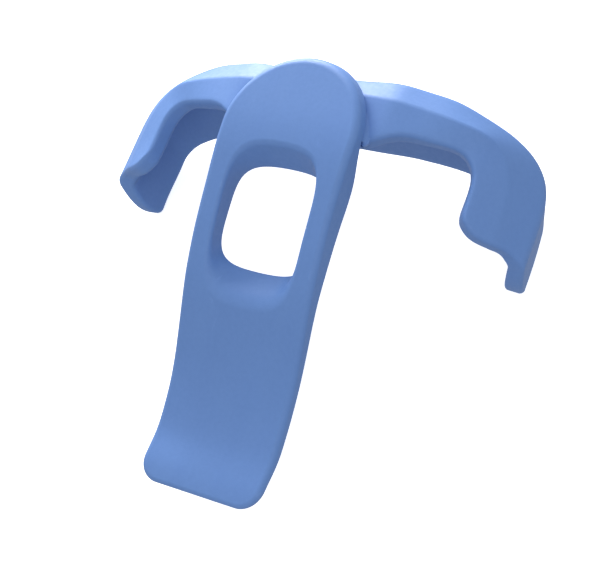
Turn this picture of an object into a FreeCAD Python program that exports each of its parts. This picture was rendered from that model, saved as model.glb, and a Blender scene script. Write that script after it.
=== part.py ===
"""Sock aid: a tongue-shaped blade with a finger window, carried by a wrap-round hoop.

Row frame, millimetres: +Z up, X across the aid, the blade's lip points to -Y. It lies as it does on
a table, front face up, on the straight back edges of the hoop's two legs, and the blade slopes down
towards its lip, which stays clear of the table. Its round head bends back onto the hoop.

The sizes count from one point, at the blade's front face just below the finger window, leg_depth
above the table. The hoop's bodies are level there. The blade's are turned about X by blade_slope, so
that in them Y runs along the blade to its head and Z stands out of its front face.
"""
import FreeCAD, Part
import math
import os

V = FreeCAD.Vector

SIZES = [
    # name, value in mm or degrees, what it is
    ("blade_slope", 24.0, "angle of the blade's front face to the table"),
    ("origin_back", -4.8814, "place along the row's Y of the point that the sizes count from"),
    ("head_radius", 19.6, "radius of the blade's round head"),
    ("head_centre", 40.6, "head centre from the origin, along the blade"),
    ("lip_reach", 53.8, "lip's edge from the origin, along the blade"),
    ("lip_half", 17.9, "half of the blade's width at the lip"),
    ("lip_corner", 5.8, "radius of the lip's two corners"),
    ("head_drop", 11.0, "how far the head's top bends back from the front face"),
    ("head_thick", 5.5, "blade's thickness at the head"),
    ("rim_thick", 8.5, "blade's thickness round the window"),
    ("waist_thick", 4.6, "blade's thickness where it bows back"),
    ("lip_thick", 3.0, "blade's thickness at the lip"),
    ("bow", 1.1, "how far the lower blade bows back"),
    ("lip_rise", 6.4, "how far the lip flares forward of the front face"),
    ("window_low", 4.2, "window's lower edge from the origin"),
    ("window_high", 30.5, "window's upper edge from the origin"),
    ("window_half_low", 12.8, "half of the window's width at its lower edge"),
    ("window_half_high", 14.2, "half of the window's width at its upper edge"),
    ("window_corner", 6.0, "radius of the window's corners"),
    ("scoop_reach", 8.0, "how far the scoop runs down the blade from the window"),
    ("hoop_half", 62.2, "half of the hoop's outer width"),
    ("hoop_back", 61.5, "outer side of the hoop at its middle, from the origin"),
    ("shoulder_back", 57.5, "outer side of the hoop's arms where they meet the legs, from the origin"),
    ("hoop_corner", 19.0, "outer radius of the hoop's two corners"),
    ("gap_half", 47.3, "half of the free width between the legs' flanges"),
    ("gap_back", 46.8, "inner edge of the arms' flange, from the origin"),
    ("gap_corner", 7.0, "radius of the gap's two corners"),
    ("shell", 4.0, "wall of the hoop's flange and outer side"),
    ("crown", 8.3, "height of the hoop's front at its middle"),
    ("leg_depth", 30.6, "hoop's depth at the legs, below the origin"),
    ("arm_depth", 24.5, "hoop's depth at the middle of the arms, below the origin"),
    ("leg_end", 27.5, "end of a leg's flange, from the origin"),
    ("tip_reach", 3.5, "how far a leg's tip runs on past the flange's end"),
    ("seat_half", 18.5, "half of the width of the seat under the head"),
    ("seat_low", 44.3, "lower side of the seat, from the origin"),
    ("seat_foot", 2.0, "foot of the seat, above the origin"),
    ("seat_rise", 25.0, "seat's height before it is trimmed to the head"),
]
size = {name: value for name, value, note in SIZES}

doc = FreeCAD.newDocument("sock_aid")
sheet = doc.addObject("Spreadsheet::Sheet", "sizes")
for row, (name, value, note) in enumerate(SIZES, start=1):
    sheet.set("A%d" % row, note)
    sheet.set("B%d" % row, str(value))
    sheet.setAlias("B%d" % row, name)
doc.recompute()

REACH = 200.0  # longer than any part of the aid, for pads that are trimmed by another body


def placed_body(name, sloped):
    """A body with its origin on the point that the sizes count from, level or sloped as the blade."""
    body = doc.addObject("PartDesign::Body", name)
    if sloped:
        body.Placement = FreeCAD.Placement(V(0, 0, 0), FreeCAD.Rotation(V(1, 0, 0), 1.0))
        body.setExpression("Placement.Rotation.Angle", "sizes.blade_slope")
    body.setExpression("Placement.Base.y", "sizes.origin_back")
    body.setExpression("Placement.Base.z", "sizes.leg_depth")
    return body


def sketch_on(body, plane, curves):
    """A sketch of the given curves on one of the body's own origin planes."""
    sketch = body.newObject("Sketcher::SketchObject", body.Name + "_" + plane[:2])
    base = [f for f in body.Origin.OriginFeatures if f.Role == plane][0]
    sketch.AttachmentSupport = [(base, "")]
    sketch.MapMode = "FlatFace"
    sketch.addGeometry(curves, False)
    return sketch


def pad(body, sketch, name, length=None, alias=None, side="Symmetric"):
    """Pad the sketch, evenly to both sides of its plane unless side says otherwise."""
    feature = body.newObject("PartDesign::Pad", name)
    feature.Profile = sketch
    feature.SideType = side
    if alias:
        feature.setExpression("Length", alias)
    else:
        feature.Length = length
    return feature


def chain(points):
    """Straight lines through the points and back to the first."""
    ends = points[1:] + points[:1]
    return [Part.LineSegment(V(*a, 0), V(*b, 0)) for a, b in zip(points, ends)]


def smooth(points):
    """One spline through the points."""
    curve = Part.BSplineCurve()
    curve.interpolate([V(x, y, 0) for x, y in points])
    return curve


def line(a, b):
    return Part.LineSegment(V(*a, 0), V(*b, 0))


def rounded(points, radii):
    """A closed outline through the points, each corner rounded by its radius (0 keeps it sharp)."""
    count = len(points)
    starts, ends, arcs = [], [], []
    for i, (x, y) in enumerate(points):
        here = V(x, y, 0)
        before = V(*points[i - 1], 0) - here
        after = V(*points[(i + 1) % count], 0) - here
        before.normalize()
        after.normalize()
        half = before.getAngle(after) / 2
        if radii[i] <= 0:
            starts.append(here)
            ends.append(here)
            arcs.append(None)
            continue
        run = radii[i] / math.tan(half)
        centre_way = before + after
        centre_way.normalize()
        middle = here + centre_way * (radii[i] / math.sin(half) - radii[i])
        starts.append(here + before * run)
        ends.append(here + after * run)
        arcs.append(Part.Arc(starts[-1], middle, ends[-1]))
    curves = []
    for i in range(count):
        if arcs[i]:
            curves.append(arcs[i])
        following = starts[(i + 1) % count]
        if (following - ends[i]).Length > 1e-6:
            curves.append(Part.LineSegment(ends[i], following))
    return curves


def boolean(kind, name, base, tool):
    feature = doc.addObject("Part::" + kind, name)
    feature.Base = base
    feature.Tool = tool
    return feature


# ---- blade: plan outline with the window, trimmed by the bowed side profile ----

head = size["head_radius"]
crown_y = size["head_centre"]
lip_y = -size["lip_reach"]

blade_plan = placed_body("blade_plan", sloped=True)
corner = size["lip_corner"]
side_run = crown_y - lip_y
lean = (head - size["lip_half"]) / side_run
corner_x = size["lip_half"] + lean * corner
outline = [
    Part.Arc(V(-head, crown_y, 0), V(0, crown_y + head, 0), V(head, crown_y, 0)),
    line((head, crown_y), (corner_x, lip_y + corner)),
    Part.Arc(V(corner_x, lip_y + corner, 0),
             V(corner_x - corner * (1 - math.sqrt(0.5)), lip_y + corner * (1 - math.sqrt(0.5)), 0),
             V(corner_x - corner, lip_y, 0)),
    line((corner_x - corner, lip_y), (corner - corner_x, lip_y)),
    Part.Arc(V(corner - corner_x, lip_y, 0),
             V(corner * (1 - math.sqrt(0.5)) - corner_x, lip_y + corner * (1 - math.sqrt(0.5)), 0),
             V(-corner_x, lip_y + corner, 0)),
    line((-corner_x, lip_y + corner), (-head, crown_y)),
]
window = rounded(
    [(-size["window_half_low"], size["window_low"]), (size["window_half_low"], size["window_low"]),
     (size["window_half_high"], size["window_high"]), (-size["window_half_high"], size["window_high"])],
    [size["window_corner"]] * 4)
pad(blade_plan, sketch_on(blade_plan, "XY_Plane", outline + window), "blade_plan_pad", REACH)

blade_side = placed_body("blade_side", sloped=True)
drop = size["head_drop"]
head_top = crown_y + head + 1
front = [(lip_y - 1, size["lip_rise"] + 0.3), (lip_y + 6, size["lip_rise"] * 0.7),
         (lip_y + 14, size["lip_rise"] * 0.14), (lip_y + 26, -size["bow"]),
         (lip_y + 40, -size["bow"] * 0.65), (0, 0.6), (crown_y - 28, 0.3), (crown_y - 16, -drop * 0.1),
         (crown_y - 4, -drop * 0.28), (crown_y + 7, -drop * 0.58), (head_top, -drop)]
thick = [size["lip_thick"], size["lip_thick"] + 0.2,
         size["lip_thick"] * 0.4 + size["waist_thick"] * 0.6, size["waist_thick"],
         size["waist_thick"] * 0.6 + size["rim_thick"] * 0.4, size["rim_thick"], size["rim_thick"],
         size["rim_thick"], size["head_thick"] + 1, size["head_thick"], size["head_thick"]]
back = [(y, z - t) for (y, z), t in zip(front, thick)]
profile = [smooth(front), line(front[-1], back[-1]), smooth(back[::-1]), line(back[0], front[0])]
pad(blade_side, sketch_on(blade_side, "YZ_Plane", profile), "blade_side_pad", REACH)

scoop = placed_body("scoop", sloped=True)
low = size["window_low"]
wedge = [(low - size["scoop_reach"], 0.0), (low + size["window_corner"], -size["rim_thick"]),
         (low + size["window_corner"], size["rim_thick"]), (low - size["scoop_reach"], size["rim_thick"])]
pad(scoop, sketch_on(scoop, "YZ_Plane", chain(wedge)), "scoop_pad",
    alias="2 * (sizes.window_half_low - 1)")

blade_blank = boolean("Common", "blade_blank", blade_plan, blade_side)
blade = boolean("Cut", "blade", blade_blank, scoop)
blade.Label = "blade"

# ---- hoop: a channel with a front flange, its outer side deepest at the two legs ----

half = size["hoop_half"]
wall = size["shell"]


def plan(offset, near):
    """Filled outline of the hoop seen from its front, drawn in by offset, open end at y = near."""
    x = half - offset
    shoulder = size["shoulder_back"] - offset
    middle = size["hoop_back"] - offset
    r = size["hoop_corner"] - offset
    return rounded([(x, near), (x, shoulder), (0, middle), (-x, shoulder), (-x, near)], [0, r, half, r, 0])


def face_height(x, drop):
    """Height of the hoop's front at x: crowned in the middle, turned outward over the legs."""
    share = min(abs(x) / size["gap_half"], 1.0)
    return size["crown"] * (1 - share ** 2.2) - drop


def crown_profile(drop, inset):
    """Closed profile across the hoop: crowned front, bevelled shoulders and the arched back edge."""
    edge = size["gap_half"]
    rise = [(x * edge / 4, face_height(x * edge / 4, drop)) for x in range(-4, 5)]
    shoulder = [(edge + 8.3, -6.0 - drop), (half - inset, -15.0 - drop)]
    deep = -size["leg_depth"] - (REACH / 10 if inset else 0)
    left = [(-x, z) for x, z in shoulder]
    curves = [smooth(rise), line(rise[-1], shoulder[0]), line(*shoulder)]
    if inset:
        corners = [shoulder[1], (half - inset, deep), (inset - half, deep), left[1]]
        curves += [line(a, b) for a, b in zip(corners, corners[1:])]
    else:
        arm = -size["arm_depth"]
        arch = [(edge + 6.0, deep), (edge - 1.0, (arm + deep) / 2 - 1), (edge * 0.62, arm - 1.2), (0, arm),
                (-edge * 0.62, arm - 1.2), (1.0 - edge, (arm + deep) / 2 - 1), (-edge - 6.0, deep)]
        curves += [line(shoulder[1], (half, deep)), line((half, deep), arch[0]), smooth(arch),
                   line(arch[-1], (-half, deep)), line((-half, deep), left[1])]
    curves += [line(left[1], left[0]), line(left[0], rise[0])]
    return curves


hoop_plan = placed_body("hoop_plan", sloped=False)
near = size["leg_end"] - size["tip_reach"]
pad(hoop_plan, sketch_on(hoop_plan, "XY_Plane", plan(0, near)), "hoop_plan_pad", REACH)

hoop_crown = placed_body("hoop_crown", sloped=False)
pad(hoop_crown, sketch_on(hoop_crown, "XZ_Plane", crown_profile(0, 0)), "hoop_crown_pad", REACH)

hollow_plan = placed_body("hollow_plan", sloped=False)
pad(hollow_plan, sketch_on(hollow_plan, "XY_Plane", plan(wall, near - 1)), "hollow_plan_pad", REACH)

hollow_crown = placed_body("hollow_crown", sloped=False)
pad(hollow_crown, sketch_on(hollow_crown, "XZ_Plane", crown_profile(wall, wall)), "hollow_crown_pad", REACH)

gap = placed_body("gap", sloped=False)
gap_outline = rounded(
    [(size["gap_half"], -REACH / 2), (size["gap_half"], size["gap_back"]),
     (-size["gap_half"], size["gap_back"]), (-size["gap_half"], -REACH / 2)],
    [0, size["gap_corner"], size["gap_corner"], 0])
pad(gap, sketch_on(gap, "XY_Plane", gap_outline), "gap_pad", REACH)

leg_ends = placed_body("leg_ends", sloped=False)
end = size["leg_end"]
tip = end - size["tip_reach"]
deep = -size["leg_depth"]
scooped = [(end, -2.0), (end - 0.8, -12.0), (tip + 0.8, deep + 12.0), (tip, deep + 8.0)]
trim = [smooth(scooped), line(scooped[-1], (tip + 1.5, deep - 1)), line((tip + 1.5, deep - 1), (-REACH / 2, deep - 1)),
        line((-REACH / 2, deep - 1), (-REACH / 2, size["crown"] + 5)),
        line((-REACH / 2, size["crown"] + 5), (end, size["crown"] + 5)),
        line((end, size["crown"] + 5), scooped[0])]
pad(leg_ends, sketch_on(leg_ends, "YZ_Plane", trim), "leg_ends_pad", REACH)

seat = placed_body("seat", sloped=False)
seat_outline = rounded(
    [(size["seat_half"], size["seat_low"]), (size["seat_half"], size["shoulder_back"]),
     (-size["seat_half"], size["shoulder_back"]), (-size["seat_half"], size["seat_low"])], [2, 2, 2, 2])
seat_sketch = sketch_on(seat, "XY_Plane", seat_outline)
seat_sketch.setExpression("AttachmentOffset.Base.z", "sizes.seat_foot")
pad(seat, seat_sketch, "seat_pad", alias="sizes.seat_rise", side="One side")

hoop_solid = boolean("Common", "hoop_solid", hoop_plan, hoop_crown)
hoop_hollow = boolean("Common", "hoop_hollow", hollow_plan, hollow_crown)
hoop_shell = boolean("Cut", "hoop_shell", hoop_solid, hoop_hollow)
hoop_open = boolean("Cut", "hoop_open", hoop_shell, gap)
hoop_ended = boolean("Cut", "hoop_ended", hoop_open, leg_ends)

# The seat fills the space under the blade's head, inside the head's outline and up to its back face.
head_plan = placed_body("head_plan", sloped=True)
head_outline = [Part.Arc(V(-head, crown_y, 0), V(0, crown_y + head, 0), V(head, crown_y, 0))]
head_outline += [line((head, crown_y), (head, 0)), line((head, 0), (-head, 0)), line((-head, 0), (-head, crown_y))]
pad(head_plan, sketch_on(head_plan, "XY_Plane", head_outline), "head_plan_pad", REACH)

head_room = placed_body("head_room", sloped=True)
under = [(y, z - 0.01) for y, z in back[5:]]
room = [smooth(under), line(under[-1], (head_top, REACH / 4)),
        line((head_top, REACH / 4), (under[0][0], REACH / 4)), line((under[0][0], REACH / 4), under[0])]
pad(head_room, sketch_on(head_room, "YZ_Plane", room), "head_room_pad", REACH)

seat_in_plan = boolean("Common", "seat_in_plan", seat, head_plan)
hoop_seated = boolean("Fuse", "hoop_seated", hoop_ended, seat_in_plan)
hoop = boolean("Cut", "hoop", hoop_seated, head_room)
hoop.Label = "hoop"

doc.recompute()
failed = [o.Name for o in doc.Objects if "Invalid" in o.State or "Error" in o.State]
if failed:
    raise RuntimeError("failed features: " + ", ".join(failed))

os.makedirs("parts", exist_ok=True)
for part in (blade, hoop):
    shape = part.Shape
    if shape.isNull() or not shape.isValid() or len(shape.Solids) != 1:
        raise RuntimeError(part.Label + " is not one valid solid")
    shape.exportStep("parts/%s.step" % part.Label)
    box = shape.optimalBoundingBox(False)
    print("%-6s volume %.0f mm3  x %.1f..%.1f  y %.1f..%.1f  z %.1f..%.1f" % (
        part.Label, shape.Volume, box.XMin, box.XMax, box.YMin, box.YMax, box.ZMin, box.ZMax))
print("overlap %.3f mm3" % blade.Shape.common(hoop.Shape).Volume)
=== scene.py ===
"""Sock aid: the moulded blade and its wrap-round hoop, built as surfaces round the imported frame.

Every shape is worked out in millimetres about the aid's own origin, the point on the blade's front
face just below the finger window, and is turned into the frame's metres when its mesh is made.
"""

import math

import bpy
import numpy as np
from bpy.props import FloatProperty, FloatVectorProperty, PointerProperty
from bpy.types import Operator, Panel, PropertyGroup
from mathutils import Matrix, Vector


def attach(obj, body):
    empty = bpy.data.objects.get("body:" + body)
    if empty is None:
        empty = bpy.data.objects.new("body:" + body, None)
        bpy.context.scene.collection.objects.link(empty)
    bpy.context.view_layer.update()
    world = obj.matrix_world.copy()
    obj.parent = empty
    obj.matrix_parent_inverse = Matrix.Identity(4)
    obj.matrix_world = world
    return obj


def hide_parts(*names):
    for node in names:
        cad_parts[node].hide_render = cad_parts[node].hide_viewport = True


bl_info = {
    "name": "Sock aid",
    "version": (1, 0, 0),
    "blender": (4, 5, 0),
    "location": "View3D > Sidebar > Sock aid",
    "description": "Builds the sock aid's blade and hoop, their moulded plastic and a plain stage",
    "category": "Object",
}

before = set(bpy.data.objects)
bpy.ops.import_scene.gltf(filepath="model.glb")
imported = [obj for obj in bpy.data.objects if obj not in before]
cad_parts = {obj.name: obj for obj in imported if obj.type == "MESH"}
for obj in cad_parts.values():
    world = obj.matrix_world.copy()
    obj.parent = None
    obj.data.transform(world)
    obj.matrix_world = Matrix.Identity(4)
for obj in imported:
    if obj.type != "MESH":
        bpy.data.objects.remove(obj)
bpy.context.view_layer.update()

MM = 0.001
ORIGIN = np.array([0.0, -4.88, 30.6])  # the aid's own origin in the frame, mm
SLOPE = math.radians(24.0)  # the blade's front face to the table
AROUND = 480  # grid points round the blade's outline
RUN = 170  # grid rows from the hoop's middle to a leg's end
ROUND = math.sqrt(0.5)  # weight that makes a conic corner of 90 degrees a circle


# ---- whole-array geometry ----

def spline(knots, values, at):
    """Natural cubic spline through the values at the knots, read at every parameter in at."""
    knots, values, at = (np.asarray(a, float) for a in (knots, values, at))
    values = values.reshape(len(knots), -1)
    gap = np.diff(knots)
    inner = np.arange(1, len(knots) - 1)
    system = np.eye(len(knots))
    system[inner, inner - 1] = gap[:-1]
    system[inner, inner] = 2 * (gap[:-1] + gap[1:])
    system[inner, inner + 1] = gap[1:]
    slope = np.diff(values, axis=0) / gap[:, None]
    turn = np.zeros_like(values)
    turn[1:-1] = 6 * np.diff(slope, axis=0)
    bend = np.linalg.solve(system, turn)
    flat = at.ravel()
    k = np.clip(np.searchsorted(knots, flat) - 1, 0, len(gap) - 1)
    g, u, w = gap[k][:, None], (flat - knots[k])[:, None], (knots[k + 1] - flat)[:, None]
    out = (bend[k] * w ** 3 + bend[k + 1] * u ** 3) / (6 * g)
    out += (values[k] / g - bend[k] * g / 6) * w + (values[k + 1] / g - bend[k + 1] * g / 6) * u
    return out.reshape(at.shape + (values.shape[1],))


def spline_line(table, at):
    """One value per parameter, from a table of (parameter, value) rows joined by a cubic spline."""
    table = np.asarray(table, float)
    return spline(table[:, 0], table[:, 1], np.clip(at, table[0, 0], table[-1, 0]))[..., 0]


def unit(vectors):
    """The vectors at length one."""
    return vectors / np.maximum(np.linalg.norm(vectors, axis=-1, keepdims=True), 1e-12)


def corner(before, edge, after, steps, weight=ROUND):
    """Conic arcs from before to after, each drawn towards its edge point: steps rings of points."""
    t = np.linspace(0, 1, steps).reshape((steps,) + (1,) * np.ndim(edge))
    a, b, c = (1 - t) ** 2, 2 * t * (1 - t) * weight, t ** 2
    return (a * before + b * edge + c * after) / (a + b + c)


def between(start, end, steps):
    """Rings of points evenly from start to end, leaving out both."""
    t = np.linspace(0, 1, steps + 2)[1:-1, None, None]
    return start + (end - start) * t


def along(points, count):
    """A closed outline resampled to count points evenly by its length, starting at its first point."""
    closed = np.vstack([points, points[:1]])
    length = np.concatenate([[0], np.cumsum(np.linalg.norm(np.diff(closed, axis=0), axis=1))])
    at = np.linspace(0, length[-1], count, endpoint=False)
    return np.stack([np.interp(at, length, closed[:, i]) for i in range(2)], axis=1)


def outward(outline):
    """Unit normals of a closed outline that runs anticlockwise."""
    run = unit(np.roll(outline, -1, axis=0) - np.roll(outline, 1, axis=0))
    return np.stack([run[:, 1], -run[:, 0]], axis=1)


def tube_faces(rings, size):
    """Quads between rings of size points, each ring closed on itself."""
    i, j = np.meshgrid(np.arange(rings - 1), np.arange(size), indexing="ij")
    k = (j + 1) % size
    corners = [i * size + j, i * size + k, (i + 1) * size + k, (i + 1) * size + j]
    return np.stack(corners, axis=-1).reshape(-1, 4)


def blade_to_aid(points):
    """From the blade's frame, Y along it and Z out of its front, to the level frame of the hoop."""
    x, y, z = np.moveaxis(points, -1, 0)
    return np.stack([x, y * math.cos(SLOPE) - z * math.sin(SLOPE),
                     y * math.sin(SLOPE) + z * math.cos(SLOPE)], axis=-1)


def add_piece(name, node_name, shells, material):
    """A mesh object from closed shells of (points in mm, quads, caps), standing for its CAD node.

    A shell whose signed volume, the sum of its quads' wedges, is negative is turned to face outwards.
    """
    points, faces, start = [], [], 0
    for shell_points, quads, caps in shells:
        flat = shell_points.reshape(-1, 3)
        a, b, c, d = (flat[quads[:, k]] - flat.mean(0) for k in range(4))
        volume = np.sum(a * (np.cross(b, c) + np.cross(c, d)))
        turn = -1 if volume < 0 else 1
        points.append(flat)
        faces += (quads[:, ::turn] + start).tolist()
        faces += [(np.array(cap)[::turn] + start).tolist() for cap in caps]
        start += len(flat)
    mesh = bpy.data.meshes.new(name)
    mesh.from_pydata(((np.vstack(points) + ORIGIN) * MM).tolist(), [], faces)
    mesh.validate()
    mesh.update()
    mesh.shade_smooth()
    piece = bpy.data.objects.new(name, mesh)
    bpy.context.scene.collection.objects.link(piece)
    mesh.materials.append(material)
    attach(piece, "root")
    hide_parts(node_name)
    return piece


# ---- the blade ----

FRONT_LINE = [  # place along the blade, height of its front face, mm
    (-58, 7.2), (-54, 6.2), (-51, 5.4), (-48, 4.3), (-42, 1.4), (-36, -0.05), (-30, -0.85),
    (-24, -1.13), (-18, -0.9), (-12, -0.4), (-6, 0.18), (0, 0.6), (6, 0.57), (12, 0.3),
    (18, -0.3), (24, -1.06), (30, -1.9), (36, -3.0), (42, -4.6), (50, -7.4), (62, -11.8)]
HALF_WIDTH = [  # place along the blade, half of its width, mm
    (-57, 17.9), (-50, 17.85), (-42, 17.9), (-30, 18.0), (-18, 18.35), (-6, 18.65), (6, 18.9),
    (16, 19.0), (26, 19.15), (36, 19.5), (41, 19.6)]
EDGE_SQUARE = 4.4  # power of the window's superellipse: 2 is an ellipse, more is squarer
UNDER_ROUND = 1.3  # rounding of the blade's back edge
REAR_LAP = 0.9  # rounding of the window's back edge


def blade_heights(sizes):
    """Heights of the blade's front and back faces, as two functions of the place along it."""
    lip, rim, head = (v / MM for v in (sizes.lip_thick, sizes.rim_thick, sizes.head_thick))
    thick = [(-58, lip), (-50, lip + 0.2), (-40, 3.8), (-25, 4.3), (-12, 4.9), (0, 5.8), (10, 7.0),
             (21, rim - 0.3), (30, rim), (36, (rim + head) / 2 - 0.3), (42, head - 0.4), (50, head),
             (62, head + 0.4)]

    def front(y):
        return spline_line(FRONT_LINE, y)

    def back(y):
        return front(y) - spline_line(thick, y)

    return front, back


def blade_outline(sizes):
    """The blade's outline: the lip's straight edge and two round corners, sides, and a half-circle head.

    The sides follow the width line, scaled so that it ends at the head's radius.
    """
    end, r = -sizes.lip_reach / MM, sizes.lip_corner / MM
    head_y, head_r = sizes.head_centre / MM, sizes.head_radius / MM
    low_half = spline_line(HALF_WIDTH, np.array(end + r))
    turn = np.radians(np.linspace(-90, 0, 40))
    lip = np.stack([low_half - r + r * np.cos(turn), end + r + r * np.sin(turn)], axis=1)
    y = np.linspace(end + r, head_y, 160)[1:]
    side = np.stack([spline_line(HALF_WIDTH, y) * head_r / HALF_WIDTH[-1][1], y], axis=1)
    turn = np.radians(np.linspace(0, 90, 80))[1:]
    head = np.stack([head_r * np.cos(turn), head_y + head_r * np.sin(turn)], axis=1)
    right = np.vstack([[[0, end]], lip, side, head])
    left = right[1:-1][::-1] * [-1, 1]
    return along(np.vstack([right, left]), AROUND)


def window_outline(low, high, half_low, half_high, arch_low, arch_high, power, angle):
    """The window at each angle about its middle: the superellipse |x|^power + |y|^power = 1, stretched.

    Its half width eases from half_low at the lower end to half_high at the upper one, and both ends are
    arched by (1 - x^2) times their arch.
    """
    middle = (low + high) / 2
    turn = np.linspace(-math.pi, math.pi, 1441)
    c, s = np.cos(turn), np.sin(turn)
    x = np.sign(c) * np.abs(c) ** (2 / power)
    y = np.sign(s) * np.abs(s) ** (2 / power)
    bulge = np.where(y > 0, arch_high, arch_low) * (1 - x ** 2) * np.abs(y)
    half = half_low + (half_high - half_low) * (y + 1) / 2
    px = x * half
    py = y * ((high - low) / 2 - np.where(y > 0, arch_high, arch_low)) + np.sign(y) * bulge
    a = np.arctan2(py, px)
    order = np.argsort(a)
    reach = np.interp(angle, a[order], np.hypot(px, py)[order], period=2 * math.pi)
    return np.stack([reach * np.cos(angle), middle + reach * np.sin(angle)], axis=1)


def blade_shell(sizes):
    """The blade as closed sections round the window: points(ring, angle), joined in both directions.

    Each section runs from the window's edge over the front face, round the outer edge and back under it.
    Heights come from the side profile at the same place along the blade.
    """
    front, back = blade_heights(sizes)

    def at(xy, z):
        return np.concatenate([xy, z[:, None]], axis=1)

    outline = blade_outline(sizes)
    normal = outward(outline)
    middle = (sizes.window_low + sizes.window_high) / 2 / MM
    angle = np.arctan2(outline[:, 1] - middle, outline[:, 0])
    low, high = sizes.window_low / MM, sizes.window_high / MM
    wide = sizes.window_half / MM
    window = window_outline(low, high, wide - 0.5, wide + 0.2, 1.2, 1.6, EDGE_SQUARE, angle)
    behind = window_outline(low + 7.6, high - 6.0, wide + 0.5, wide + 1.3, 0.8, 1.2, EDGE_SQUARE, angle)

    y = outline[:, 1]
    thick = front(y) - back(y)
    soft = np.minimum(sizes.edge_round / MM + 0.3 * np.clip((y - 20) / 20, 0, 1), thick * 0.46)
    hard = np.minimum(UNDER_ROUND, thick * 0.46)
    inset = outline - normal * soft[:, None]
    under = outline - normal * hard[:, None]

    lower = np.clip((middle - window[:, 1]) / (high - low) * 2, 0, 1) ** 2
    rim = (1.1 + 1.5 * lower)[:, None]
    away = unit(outline - window)
    lap = window + away * rim
    edge_front, edge_back = at(window, front(window[:, 1])), at(behind, back(behind[:, 1]))
    wall = unit(edge_back - edge_front)
    lap_back = behind + unit(outline - behind) * REAR_LAP

    def over(start, end, steps, height):
        """Rings from start to end across a face, closer together at both ends."""
        t = 0.5 - 0.5 * np.cos(np.linspace(0, math.pi, steps + 2))[1:-1, None, None]
        xy = start + (end - start) * t
        return np.concatenate([xy, height(xy[..., 1])[..., None]], axis=-1)

    face = over(lap, inset, 46, front)
    rear = over(under, lap_back, 40, back)
    top = at(outline, front(y))
    base = at(outline, back(y))
    up = np.array([0, 0, 1.0])
    rings = np.concatenate([
        corner(edge_front + wall * rim, edge_front, at(lap, front(lap[:, 1])), 8),
        face,
        corner(at(inset, front(inset[:, 1])), top, top - up * soft[:, None], 10),
        between(top - up * soft[:, None], base + up * hard[:, None], 2),
        corner(base + up * hard[:, None], base, at(under, back(under[:, 1])), 8),
        rear,
        corner(at(lap_back, back(lap_back[:, 1])), edge_back, edge_back - wall * REAR_LAP, 6),
        between(edge_back - wall * REAR_LAP, edge_front + wall * rim, 7)])
    count = len(rings)
    i, j = np.meshgrid(np.arange(count), np.arange(AROUND), indexing="ij")
    i2, j2 = (i + 1) % count, (j + 1) % AROUND
    corners = [i * AROUND + j, i2 * AROUND + j, i2 * AROUND + j2, i * AROUND + j2]
    return blade_to_aid(rings), np.stack(corners, axis=-1).reshape(-1, 4), []


# ---- the hoop ----

# Stations from the hoop's middle to a leg's end. Each has four corners of the section, as x, y, z:
# the flange's inner edge, the crease, the outer edge of the bevel and the wall's back edge.
STATIONS = [
    [(0, 41.5, 6.6), (0, 54.8, 7.6), (0, 61.6, 3.6), (0, 59.2, -25)],
    [(10, 41.5, 6.7), (10, 54.8, 7.7), (10, 61.6, 3.6), (10, 59.2, -25)],
    [(17.4, 41.6, 7.1), (19, 54.8, 7.8), (19, 62, 4.2), (19, 59.2, -25)],
    [(21.4, 42.9, 7.2), (23, 54.8, 7.5), (23, 62.2, 3.6), (23, 59, -25.2)],
    [(24.8, 44.8, 6.7), (26.5, 54.8, 6.6), (26.5, 62.3, 2.4), (26.5, 58.8, -25.4)],
    [(28, 46.2, 5.9), (30, 54.75, 5.6), (30, 62.3, 1.3), (30, 58.5, -25.6)],
    [(33, 46.8, 4.4), (35, 54.5, 4.3), (35.6, 62.1, -0.5), (34.8, 57.9, -26)],
    [(38.5, 47.1, 2.3), (41, 54, 2.5), (43.1, 60.4, -3.2), (43, 56.3, -26.8)],
    [(42.6, 46.7, 0.7), (46.3, 53.2, 0.3), (50.4, 58.2, -6.5), (50.5, 53.3, -28)],
    [(45.4, 44.6, -0.3), (50.2, 51, -2), (56.78, 54.59, -9.5), (55, 50.2, -29)],
    [(46.8, 41.5, -1.1), (53.2, 47.2, -3.9), (60.8, 49.5, -12.1), (57.6, 45.8, -29.8)],
    [(47.2, 37.5, -1.5), (54.8, 42, -5.4), (62.3, 43.4, -13.5), (58.2, 41.2, -30.3)],
    [(47.4, 33, -1.6), (55.3, 35.5, -6.4), (62.6, 36, -14), (58.5, 35.5, -30.6)],
    [(47.8, 28, -1.5), (55.5, 29.5, -6.8), (62.6, 29.5, -14.1), (58.7, 29.5, -30.6)],
    [(48, 23.5, -1.4), (55.6, 23.5, -6.9), (62.6, 23.5, -14.1), (58.8, 23.5, -30.6)],
]
LEG_END = [  # share of the way from the flange's edge to the wall's back edge, y at which the leg ends
    (0, 33.0), (0.03, 30.8), (0.07, 29.2), (0.13, 28.0), (0.2, 27.5), (0.28, 27.5), (0.36, 27.8),
    (0.45, 27.6),
    (0.55, 26.3), (0.65, 25.1), (0.75, 24.4), (0.84, 24.4), (0.92, 25.1), (0.97, 26.3), (1.0, 28.1)]
REACHES = (1.2, 0.7, 1.5, 1.3)  # how far each outer corner's rounding runs along its sides
INNER_REACHES = (1.2, 1.0, 1.6, 1.3)
LEG_START = 0.86  # share of the way from the hoop's middle to a leg's end, where the straight leg starts
HOOK = 1.4  # how much thicker the outer wall gets by the leg's end


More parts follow.
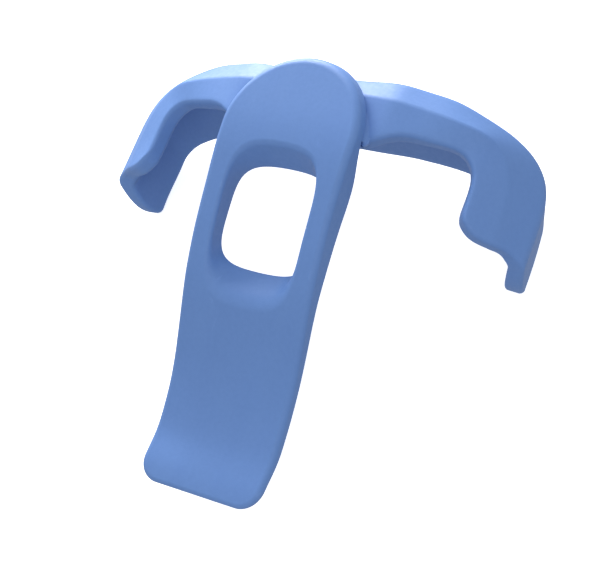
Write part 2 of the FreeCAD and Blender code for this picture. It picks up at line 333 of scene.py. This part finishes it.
def hoop_corners(shell, stations):
    """Outer and inner corners of the section at every station.

    The inner ones lie one wall further in, mitred between the two sides that meet there.
    """
    half = np.asarray(STATIONS, float)
    whole = np.concatenate([half[:0:-1] * [-1, 1, 1], half])
    step = np.sum([np.linalg.norm(np.diff(whole[:, k], axis=0), axis=1) for k in (1, 2)], axis=0)
    knots = np.concatenate([[0], np.cumsum(step)])
    knots -= knots[len(half) - 1]
    at = stations * knots[-1]
    outer = spline(knots, whole.reshape(len(whole), -1), at).reshape(len(at), 4, 3)
    ahead = spline(knots, whole.reshape(len(whole), -1), at + 0.05).reshape(len(at), 4, 3)
    run = unit(ahead - outer)
    sides = unit(np.diff(outer, axis=1))
    inward = unit(np.cross(sides, (run[:, 1:] + run[:, :-1]) / 2))
    plain = np.zeros(len(stations))
    hook = HOOK * np.clip((np.abs(stations) - LEG_START) / (1 - LEG_START), 0, 1) ** 2
    wall = np.stack([plain + shell + 0.6, plain + shell + 0.3, hook + shell], axis=1)[..., None]
    first = outer[:, 0] + inward[:, 0] * wall[:, 0]
    last = outer[:, 3] + inward[:, 2] * wall[:, 2]
    a, b = inward[:, :-1], inward[:, 1:]
    meet = (a + b) / (1 + np.sum(a * b, axis=-1, keepdims=True))
    inner = outer[:, 1:3] + meet * ((wall[:, :-1] + wall[:, 1:]) / 2)
    return outer, np.concatenate([first[:, None], inner, last[:, None]], axis=1)


def hoop_sections(shell, stations):
    """Closed rounded sections at the stations: points(station, place round the section).

    Each runs down the outer side from the flange's edge to the wall's back edge, then up the inner side
    again. Every corner is a conic arc.
    """
    outer, inner = hoop_corners(shell, stations)
    loop = np.concatenate([outer, inner[:, ::-1]], axis=1)
    reach = np.array(REACHES + INNER_REACHES[::-1])[None, :, None]
    back = np.roll(loop, 1, axis=1) - loop
    forth = np.roll(loop, -1, axis=1) - loop
    room = np.minimum(*(np.linalg.norm(side, axis=-1, keepdims=True) for side in (back, forth)))
    reach = np.minimum(reach, room * 0.46)
    start, end = loop + unit(back) * reach, loop + unit(forth) * reach
    arcs = corner(start, loop, end, 7)  # step, station, corner, xyz
    fills = (6, 6, 20, 1, 20, 6, 6, 1)
    parts = []
    for k, fill in enumerate(fills):
        parts.append(arcs[:, :, k])
        parts.append(between(end[:, k], start[:, (k + 1) % 8], fill))
    return np.concatenate(parts).transpose(1, 0, 2)  # station, point, xyz


def hoop_shell(sizes):
    """The hoop as sections swept from one leg's end to the other: points(station, place round it).

    Each line along the sweep stops where the leg's end curve crosses it. The end is rounded by drawing
    the last sections in, each point towards the one across the wall.
    """
    shell, r = sizes.wall / MM, sizes.end_round / MM
    dense = 900
    grid = hoop_sections(shell, np.linspace(0, 1, dense))
    size = grid.shape[1]
    side = (size - 2) // 2
    share = np.zeros(size)
    step = np.linalg.norm(np.diff(grid[-1, :side], axis=0), axis=1)
    share[:side] = np.concatenate([[0], np.cumsum(step)]) / step.sum()
    share[side] = 1.0
    share[side + 1:2 * side + 1] = share[:side][::-1]
    end = spline_line(LEG_END, share)

    leg = int(dense * LEG_START)
    y0, y1 = grid[leg, :, 1], grid[-1, :, 1]
    s0 = leg / (dense - 1)

    def stop(y):
        """Station at which each line along the leg reaches y."""
        return s0 + (1 - s0) * (y - y0) / (y1 - y0)

    turn = np.linspace(0, math.pi / 2, 8)
    rows = np.linspace(0, 1, RUN)[:, None] * stop(end + r)
    tips = stop(end + r * (1 - np.sin(turn[1:, None])))
    place = np.clip(np.vstack([rows, tips]), 0, 1) * (dense - 1)
    low = np.minimum(place.astype(int), dense - 2)
    part = (place - low)[..., None]
    column = np.arange(size)[None, :]
    right = grid[low, column] * (1 - part) + grid[low + 1, column] * part

    pair = np.concatenate([2 * side - np.arange(2 * side + 1), [2 * side + 1]])
    over = right[RUN - 1][pair] - right[RUN - 1]
    drawn = np.concatenate([np.zeros(RUN), r * (1 - np.cos(turn[1:]))])[:, None, None]
    right = right + unit(over) * np.minimum(drawn, 0.42 * np.linalg.norm(over, axis=-1, keepdims=True))
    rings = np.concatenate([right[:0:-1] * [-1, 1, 1], right])
    count = len(rings)
    a = np.arange(side - 1)
    strip = np.stack([a, 2 * side - a, 2 * side - a - 1, a + 1], axis=1)
    last = (count - 1) * size
    quads = np.concatenate([tube_faces(count, size), strip, strip[:, ::-1] + last])
    caps = [[side + 1, side, side - 1], [0, 2 * side + 1, 2 * side],
            [last + side - 1, last + side, last + side + 1], [last + 2 * side, last + 2 * side + 1, last]]
    return rings, quads, caps


def flange_height(x, y):
    """Height of the hoop's front under the head: the flange between its two edges, then the bevel."""
    half = np.asarray(STATIONS[:8], float)
    edge, crease, bevel = (
        [np.interp(np.abs(x), half[:, k, 0], half[:, k, i]) for i in (1, 2)] for k in range(3))
    share = (y - edge[0]) / (crease[0] - edge[0])
    fall = (y - crease[0]) / (bevel[0] - crease[0])
    flat = edge[1] + (crease[1] - edge[1]) * share
    return np.where(y < crease[0], flat, crease[1] + (bevel[1] - crease[1]) * fall)


def hub_shell(blade, hoop):
    """The hub between the head and the flange, with a hollow fillet where it lands on the flange.

    It is the head's half disc, flatter at its top, carried down the blade's own normal.
    """
    count = 220
    r, head_y = blade.head_radius / MM - 0.25, blade.head_centre / MM
    low = head_y + 2.4
    turn = np.radians(np.linspace(0, 180, 140))
    top = np.stack([r * np.cos(turn), head_y + (r - 5.5) * np.sin(turn)], axis=1)
    bottom = np.stack([np.linspace(-r, r, 80)[1:-1], np.full(78, low)], axis=1)
    outline = along(np.vstack([top, bottom]), count)
    for _ in range(6):  # softens the two lower corners
        outline = (np.roll(outline, 1, axis=0) + outline * 2 + np.roll(outline, -1, axis=0)) / 4
    normal = outward(outline)
    seat = blade_heights(blade)[1](outline[:, 1]) + 0.25
    fillet = hoop.fillet / MM
    head = blade_to_aid(np.concatenate([outline, seat[:, None]], axis=1))
    lean = blade_to_aid(np.array([[0, 0, -1.0]]))[0]
    foot_z = flange_height(head[:, 0], head[:, 1])
    drop = np.maximum((head[:, 2] - foot_z) / -lean[2], 0.3)[:, None]
    foot = head + lean * drop
    spread = np.concatenate([normal, np.zeros((count, 1))], axis=1)
    start = head + (foot - head) * np.clip(1 - fillet / np.maximum(drop, fillet), 0.12, 1)
    land = foot + spread * fillet
    land[:, 2] = flange_height(land[:, 0], land[:, 1])
    sunk = foot + spread * (fillet - 0.2) - [0, 0, 1.2]
    centre = sunk.mean(0)
    rings = np.concatenate([
        between(np.broadcast_to(head.mean(0), head.shape), head, 3),
        head[None],
        between(head, start, 3),
        corner(start, foot, land - [0, 0, 0.03], 9),
        sunk[None],
        between(sunk, np.broadcast_to(centre, sunk.shape), 3)])
    last = (len(rings) - 1) * count
    caps = [np.arange(count)[::-1], last + np.arange(count)]
    return rings, tube_faces(len(rings), count), caps


# ---- moulded plastic ----

def new_group(name, inputs, outputs):
    """An empty shader node group with float or colour sockets, and its two end nodes."""
    group = bpy.data.node_groups.new(name, "ShaderNodeTree")
    for label, kind, default in inputs:
        socket = group.interface.new_socket(label, in_out="INPUT", socket_type=kind)
        if default is not None:
            socket.default_value = default
    for label, kind in outputs:
        group.interface.new_socket(label, in_out="OUTPUT", socket_type=kind)
    return group, group.nodes.new("NodeGroupInput"), group.nodes.new("NodeGroupOutput")


def node(tree, kind, links=(), **values):
    """A node with its attributes or socket values set, and links as (own input, other output)."""
    made = tree.nodes.new(kind)
    for key, value in values.items():
        if hasattr(made, key):
            setattr(made, key, value)
        else:
            made.inputs[key.replace("_", " ")].default_value = value
    for own, other in links:
        tree.links.new(other, made.inputs[own])
    return made


def grain_group():
    """Fine moulded grain: a spark-eroded texture of three noise sizes, as a height and a mask."""
    group, ins, outs = new_group(
        "moulded_grain",
        [("Vector", "NodeSocketVector", None), ("Grain Size", "NodeSocketFloat", 1.0)],
        [("Height", "NodeSocketFloat"), ("Mask", "NodeSocketFloat")])
    over = node(group, "ShaderNodeMath", operation="DIVIDE")
    over.inputs[0].default_value = 1.0
    group.links.new(ins.outputs["Grain Size"], over.inputs[1])
    where = node(group, "ShaderNodeVectorMath", [(0, ins.outputs["Vector"]), (3, over.outputs[0])],
                 operation="SCALE").outputs[0]
    fine = node(group, "ShaderNodeTexNoise", [("Vector", where)], Scale=2600.0, Detail=2.0, Roughness=0.6)
    coarse = node(group, "ShaderNodeTexNoise", [("Vector", where)], Scale=900.0, Detail=3.0, Roughness=0.55)
    pits = node(group, "ShaderNodeTexVoronoi", [("Vector", where)], Scale=1500.0)
    blend = node(group, "ShaderNodeMix", [(2, fine.outputs["Fac"]), (3, coarse.outputs["Fac"])],
                 data_type="FLOAT")
    blend.inputs[0].default_value = 0.5
    pitted = node(group, "ShaderNodeMath", [(0, pits.outputs["Distance"]), (2, blend.outputs[0])],
                  operation="MULTIPLY_ADD")
    pitted.inputs[1].default_value = 0.35
    group.links.new(pitted.outputs[0], outs.inputs["Height"])
    mask = node(group, "ShaderNodeMapRange", [(0, coarse.outputs["Fac"])])
    mask.inputs[1].default_value, mask.inputs[2].default_value = 0.35, 0.65
    group.links.new(mask.outputs[0], outs.inputs["Mask"])
    return group


def flow_group():
    """Slow drift of pigment through the moulding: broad cloudy streaks drawn out along the part."""
    group, ins, outs = new_group(
        "pigment_flow",
        [("Vector", "NodeSocketVector", None), ("Stretch", "NodeSocketFloat", 1.0)],
        [("Cloud", "NodeSocketFloat"), ("Streak", "NodeSocketFloat")])
    cloud = node(group, "ShaderNodeTexNoise", [("Vector", ins.outputs["Vector"])],
                 Scale=28.0, Detail=3.0, Roughness=0.5)
    long = node(group, "ShaderNodeMapping", [("Vector", ins.outputs["Vector"])])
    long.inputs["Scale"].default_value = (1.0, 0.22, 0.6)
    streak = node(group, "ShaderNodeTexNoise", [("Vector", long.outputs[0])],
                  Scale=160.0, Detail=4.0, Roughness=0.6, Distortion=0.8)
    drawn = node(group, "ShaderNodeMath", [(0, streak.outputs["Fac"]), (1, ins.outputs["Stretch"])],
                 operation="MULTIPLY")
    group.links.new(cloud.outputs["Fac"], outs.inputs["Cloud"])
    group.links.new(drawn.outputs[0], outs.inputs["Streak"])
    return group


def edge_highlight_group():
    """Painted highlight: edges that stand out are painted paler, broken up by a soft noise."""
    group, ins, outs = new_group(
        "painted_edge_highlight",
        [("Vector", "NodeSocketVector", None), ("Amount", "NodeSocketFloat", 0.5)],
        [("Edge", "NodeSocketFloat")])
    shape = node(group, "ShaderNodeNewGeometry")
    # painted highlight on the edges that stand out, picked out by the mesh's pointiness
    ridge = node(group, "ShaderNodeMapRange", [(0, shape.outputs["Pointiness"])],
                 interpolation_type="SMOOTHSTEP")
    ridge.inputs[1].default_value, ridge.inputs[2].default_value = 0.502, 0.56
    broken = node(group, "ShaderNodeTexNoise", [("Vector", ins.outputs["Vector"])],
                  Scale=240.0, Detail=4.0, Roughness=0.6)
    patch = node(group, "ShaderNodeMapRange", [(0, broken.outputs["Fac"])])
    patch.inputs[1].default_value, patch.inputs[2].default_value = 0.3, 0.7
    both = node(group, "ShaderNodeMath", [(0, ridge.outputs[0]), (1, patch.outputs[0])],
                operation="MULTIPLY")
    much = node(group, "ShaderNodeMath", [(0, both.outputs[0]), (1, ins.outputs["Amount"])],
                operation="MULTIPLY")
    group.links.new(much.outputs[0], outs.inputs["Edge"])
    return group


def placed_group(tree, make, name, vector, **values):
    """The named group in a material, built the first time it is asked for."""
    made = tree.nodes.new("ShaderNodeGroup")
    made.node_tree = bpy.data.node_groups.get(name) or make()
    tree.links.new(vector, made.inputs["Vector"])
    for key, value in values.items():
        made.inputs[key.replace("_", " ")].default_value = value
    return made


def moulded_plastic(name, finish):
    """Matte moulded plastic: even pigment that drifts slightly, fine grain, and a painted highlight that
    makes the edges paler.
    """
    material = bpy.data.materials.new(name)
    material.use_nodes = True
    tree = material.node_tree
    tree.nodes.clear()
    where = node(tree, "ShaderNodeTexCoord").outputs["Object"]
    grain = placed_group(tree, grain_group, "moulded_grain", where, Grain_Size=1.0)
    flow = placed_group(tree, flow_group, "pigment_flow", where, Stretch=1.0)
    # mask of the painted highlight on the edges that stand out
    edge_highlight = placed_group(tree, edge_highlight_group, "painted_edge_highlight", where, Amount=finish.edge_highlight)

    base = list(finish.colour)
    deep = node(tree, "ShaderNodeMix", [(0, flow.outputs["Cloud"])], data_type="RGBA")
    deep.inputs[6].default_value = (*[c * 0.93 for c in base], 1)
    deep.inputs[7].default_value = (*[c * 1.07 for c in base], 1)
    streaked = node(tree, "ShaderNodeMix", [(0, flow.outputs["Streak"]), (6, deep.outputs[2])],
                    data_type="RGBA", blend_type="SOFT_LIGHT")
    streaked.inputs[7].default_value = (0.56, 0.55, 0.53, 1)
    spotted = node(tree, "ShaderNodeMix", [(0, grain.outputs["Mask"]), (6, streaked.outputs[2])],
                   data_type="RGBA", blend_type="MULTIPLY")
    spotted.inputs[7].default_value = (0.965, 0.97, 0.975, 1)
    # painted highlight: edges that stand out are mixed towards a paler, whiter blue
    brightened = node(tree, "ShaderNodeMix", [(0, edge_highlight.outputs["Edge"]), (6, spotted.outputs[2])],
                  data_type="RGBA")
    brightened.inputs[7].default_value = (*[min(1.0, c * 1.15 + 0.06) for c in base], 1)

    rough = node(tree, "ShaderNodeMapRange", [(0, grain.outputs["Mask"])])
    rough.inputs[3].default_value = finish.roughness - 0.05
    rough.inputs[4].default_value = finish.roughness + 0.05
    smoother = node(tree, "ShaderNodeMath", [(0, edge_highlight.outputs["Edge"]), (2, rough.outputs[0])],
                    operation="MULTIPLY_ADD")
    smoother.inputs[1].default_value = -0.18
    bump = node(tree, "ShaderNodeBump", [("Height", grain.outputs["Height"])], Strength=finish.grain)
    bump.inputs["Distance"].default_value = 0.00008

    shader = node(tree, "ShaderNodeBsdfPrincipled", [
        ("Base Color", brightened.outputs[2]), ("Roughness", smoother.outputs[0]), ("Normal", bump.outputs[0])])
    shader.inputs["IOR"].default_value = 1.49
    shader.inputs["Specular IOR Level"].default_value = 0.35
    out = tree.nodes.new("ShaderNodeOutputMaterial")
    tree.links.new(shader.outputs[0], out.inputs["Surface"])
    return material


# ---- what a user may change ----

def length(name, description, default):
    """A length property whose default is given in millimetres."""
    return FloatProperty(name=name, description=description, default=default * MM, unit="LENGTH",
                         precision=4)


class BladeSizes(PropertyGroup):
    """Sizes of the blade."""
    lip_reach: length("Lip reach", "From the origin down the blade to the lip's edge", 53.8)
    lip_corner: length("Lip corner", "Radius of the lip's two corners", 5.8)
    lip_thick: length("Lip thickness", "Thickness of the blade at the lip", 3.0)
    head_centre: length("Head centre", "From the origin up the blade to the middle of the round head", 40.6)
    head_radius: length("Head radius", "Radius of the round head", 19.6)
    rim_thick: length("Rim thickness", "Thickness of the blade round the window", 8.6)
    head_thick: length("Head thickness", "Thickness of the blade at the head", 5.5)
    window_low: length("Window bottom", "Lower edge of the finger window at the front", -3.4)
    window_high: length("Window top", "Upper edge of the finger window at the front", 36.6)
    window_half: length("Window half width", "Half of the finger window's width at its middle", 13.0)
    edge_round: length("Edge rounding", "How far the blade's front edge is rounded", 1.5)


class HoopSizes(PropertyGroup):
    """Sizes of the hoop."""
    wall: length("Wall", "Thickness of the hoop's outer wall", 4.0)
    end_round: length("End rounding", "Rounding of the legs' ends", 1.2)
    fillet: length("Hub fillet", "Hollow fillet between the hub and the flange", 1.3)


class Finish(PropertyGroup):
    """Colour and surface of the moulded plastic."""
    colour: FloatVectorProperty(name="Colour", description="Pigment of the plastic", subtype="COLOR", size=3,
                                default=(0.125, 0.252, 0.590), min=0, max=1)
    roughness: FloatProperty(name="Roughness", description="How matte the moulded surface is", default=0.52,
                             min=0.1, max=1, subtype="FACTOR")
    grain: FloatProperty(name="Grain", description="Strength of the fine moulded grain", default=0.25,
                         min=0, max=1, subtype="FACTOR")
    # strength of the painted highlight on the edges that stand out, which also makes them less rough
    edge_highlight: FloatProperty(name="Wear", description="How much handling has rubbed the edges", default=0.35,
                        min=0, max=1, subtype="FACTOR")


class StageSizes(PropertyGroup):
    """Light and camera of the stage."""
    key: FloatProperty(name="Key light", description="Power of the soft key light", default=3.1, unit="POWER")
    fill: FloatProperty(name="Fill light", description="Power of the broad light from above", default=0.5,
                        unit="POWER")
    sky: FloatProperty(name="Sky", description="Strength of the even white surround", default=0.74)
    lens: FloatProperty(name="Lens", description="Focal length of the camera", default=82.43, unit="CAMERA")


# ---- operators ----

class SOCKAID_OT_blade(Operator):
    """Build the blade with its finger window"""
    bl_idname = "sockaid.blade"
    bl_label = "Blade"

    def execute(self, context):
        scene = context.scene
        add_piece("blade_moulding", "blade", [blade_shell(scene.sockaid_blade)],
                  moulded_plastic("blue_plastic_blade", scene.sockaid_finish))
        return {"FINISHED"}


class SOCKAID_OT_hoop(Operator):
    """Build the hoop with its two legs and the hub under the head"""
    bl_idname = "sockaid.hoop"
    bl_label = "Hoop"

    def execute(self, context):
        scene = context.scene
        shells = [hoop_shell(scene.sockaid_hoop), hub_shell(scene.sockaid_blade, scene.sockaid_hoop)]
        add_piece("hoop_moulding", "hoop", shells, moulded_plastic("blue_plastic_hoop", scene.sockaid_finish))
        return {"FINISHED"}


CAMERA_PLACE = (173.87, -98.005, 282.756)  # from the aid's own origin, mm
CAMERA_RIGHT = (0.859570, 0.370458, -0.351995)
CAMERA_UP = (-0.204407, 0.880560, 0.427587)
FLOOR = 4.0  # half of the floor's width, m
KEY_WAY = (-0.5, 0.8, 0.2)  # from the aid towards the key light
FILL_WAY = (0.3, -0.1, 0.95)  # from the aid towards the fill light
SKY_WAY = (-0.2, 0.2, 0.96)  # towards the brightest part of the surround


def aimed(obj, place, target):
    """Put a light at place, facing target."""
    obj.location = place
    obj.rotation_mode = "QUATERNION"
    obj.rotation_quaternion = (Vector(target) - Vector(place)).to_track_quat("-Z", "Y")


class SOCKAID_OT_stage(Operator):
    """Build the pale floor, the soft studio light and the camera"""
    bl_idname = "sockaid.stage"
    bl_label = "Stage"

    def execute(self, context):
        scene, stage = context.scene, context.scene.sockaid_stage
        mesh = bpy.data.meshes.new("floor")
        ends = [(-FLOOR, -FLOOR, 0), (FLOOR, -FLOOR, 0), (FLOOR, FLOOR, 0), (-FLOOR, FLOOR, 0)]
        mesh.from_pydata(ends, [], [(0, 1, 2, 3)])
        floor = bpy.data.objects.new("floor", mesh)
        scene.collection.objects.link(floor)
        paper = bpy.data.materials.new("pale_floor")
        paper.use_nodes = True
        shader = paper.node_tree.nodes["Principled BSDF"]
        shader.inputs["Base Color"].default_value = (0.92, 0.92, 0.92, 1)
        shader.inputs["Roughness"].default_value = 0.9
        shader.inputs["Specular IOR Level"].default_value = 0.1
        shader.inputs["Emission Color"].default_value = (1, 1, 1, 1)
        shader.inputs["Emission Strength"].default_value = 0.72
        floor.visible_diffuse = False
        floor.visible_glossy = False
        mesh.materials.append(paper)

        world = bpy.data.worlds.new("studio")
        world.use_nodes = True
        background = world.node_tree.nodes["Background"]
        background.inputs["Color"].default_value = (1, 1, 1, 1)
        where = node(world.node_tree, "ShaderNodeTexCoord").outputs["Generated"]
        tilt = node(world.node_tree, "ShaderNodeVectorMath", [(0, where)], operation="DOT_PRODUCT")
        tilt.inputs[1].default_value = SKY_WAY
        fade = node(world.node_tree, "ShaderNodeMapRange", [(0, tilt.outputs["Value"])])
        fade.inputs[1].default_value, fade.inputs[2].default_value = -0.6, 0.9
        fade.inputs[3].default_value, fade.inputs[4].default_value = stage.sky * 0.75, stage.sky
        world.node_tree.links.new(fade.outputs[0], background.inputs["Strength"])
        scene.world = world

        centre = Vector((0, 0.01, 0.035))
        for name, way, away, size, power in (
                ("key", KEY_WAY, 0.45, 0.28, stage.key), ("fill", FILL_WAY, 0.6, 0.45, stage.fill)):
            light = bpy.data.lights.new(name, "AREA")
            light.shape, light.size, light.energy = "DISK", size, power
            lamp = bpy.data.objects.new(name, light)
            scene.collection.objects.link(lamp)
            aimed(lamp, centre + Vector(way).normalized() * away, centre)

        camera_data = bpy.data.cameras.new("camera")
        camera_data.lens, camera_data.sensor_width, camera_data.sensor_fit = stage.lens, 36.0, "HORIZONTAL"
        camera_data.clip_start = 0.01
        camera = bpy.data.objects.new("camera", camera_data)
        scene.collection.objects.link(camera)
        right, up = Vector(CAMERA_RIGHT), Vector(CAMERA_UP)
        back = right.cross(up)
        camera.rotation_mode = "QUATERNION"
        camera.rotation_quaternion = Matrix((right, up, back)).transposed().to_quaternion()
        camera.location = (Vector(CAMERA_PLACE) + Vector(ORIGIN)) * MM
        scene.camera = camera
        scene.view_settings.view_transform = "Standard"
        return {"FINISHED"}


class SOCKAID_PT_panel(Panel):
    """The aid's pieces and their sizes"""
    bl_idname = "SOCKAID_PT_panel"
    bl_label = "Sock aid"
    bl_space_type = "VIEW_3D"
    bl_region_type = "UI"
    bl_category = "Sock aid"

    def draw(self, context):
        for group, operator in GROUPS:
            box = self.layout.box()
            values = getattr(context.scene, group)
            for name in values.__annotations__:
                box.prop(values, name)
            if operator:
                box.operator(operator)


GROUPS = (("sockaid_finish", None), ("sockaid_blade", "sockaid.blade"), ("sockaid_hoop", "sockaid.hoop"),
          ("sockaid_stage", "sockaid.stage"))
CLASSES = (BladeSizes, HoopSizes, Finish, StageSizes, SOCKAID_OT_blade, SOCKAID_OT_hoop, SOCKAID_OT_stage,
           SOCKAID_PT_panel)


def register():
    for cls in CLASSES:
        bpy.utils.register_class(cls)
    bpy.types.Scene.sockaid_blade = PointerProperty(type=BladeSizes)
    bpy.types.Scene.sockaid_hoop = PointerProperty(type=HoopSizes)
    bpy.types.Scene.sockaid_finish = PointerProperty(type=Finish)
    bpy.types.Scene.sockaid_stage = PointerProperty(type=StageSizes)


def unregister():
    for name, _ in GROUPS:
        delattr(bpy.types.Scene, name)
    for cls in reversed(CLASSES):
        bpy.utils.unregister_class(cls)


def main():
    register()
    bpy.ops.sockaid.blade()
    bpy.ops.sockaid.hoop()
    bpy.ops.sockaid.stage()


if __name__ == "__main__":
    main()
